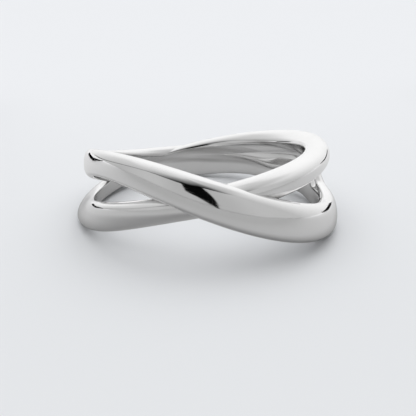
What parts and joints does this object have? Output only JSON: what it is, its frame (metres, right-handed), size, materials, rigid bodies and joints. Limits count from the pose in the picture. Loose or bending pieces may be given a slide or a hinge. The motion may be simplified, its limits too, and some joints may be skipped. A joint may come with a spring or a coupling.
{
  "type": "twist ring",
  "caption": "Finger ring of rounded silver bands that tilt opposite ways, cross at the front and run into each other at the back, cast in one piece.",
  "frame": {"origin": "on the finger hole's axis, half way up the hole's wall", "axes": "+Z along the finger hole's axis, up as the ring lies on its side; -Y towards the front crossing, where one band lies over the other; +X to the right seen from the front"},
  "size_m": [0.0214, 0.0212, 0.008],
  "materials": {
    "silver": "polished sterling silver with fine wear"
  },
  "bodies": {
    "root": {"twist_band": "silver"}
  },
  "joints": []
}
